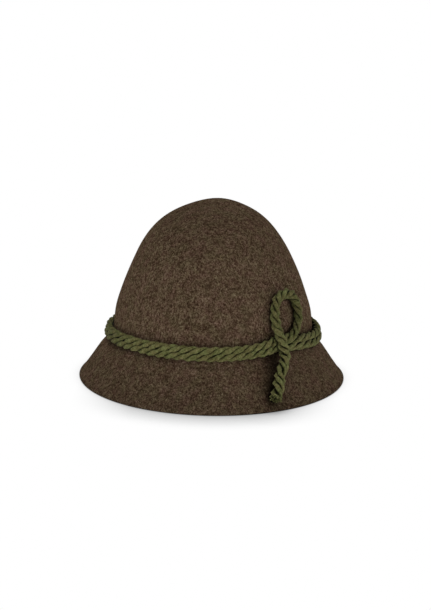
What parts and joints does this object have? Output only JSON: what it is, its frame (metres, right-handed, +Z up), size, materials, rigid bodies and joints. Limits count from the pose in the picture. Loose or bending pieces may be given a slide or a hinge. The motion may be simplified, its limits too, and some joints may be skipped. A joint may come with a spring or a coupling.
{
  "type": "loden hat",
  "caption": "Soft felt hat with a domed crown and a steep turned-down brim in one piece, and a twisted cord band that ends in a loop and a hanging tail.",
  "frame": {"origin": "middle of the rim's oval, on the surface that the hat rests on", "axes": "+X towards the wearer's left, -Y towards the front, +Z up through the crown"},
  "size_m": [0.2174, 0.2514, 0.1454],
  "materials": {
    "felt": "matt brushed wool felt, olive brown with fine lighter and darker fibres",
    "cord": "thick soft twisted cord, dull moss green, dark in its grooves"
  },
  "bodies": {
    "root": {"felt_body": "felt", "band_cord_upper": "cord", "band_cord_lower": "cord", "loop_cord": "cord"}
  },
  "joints": []
}
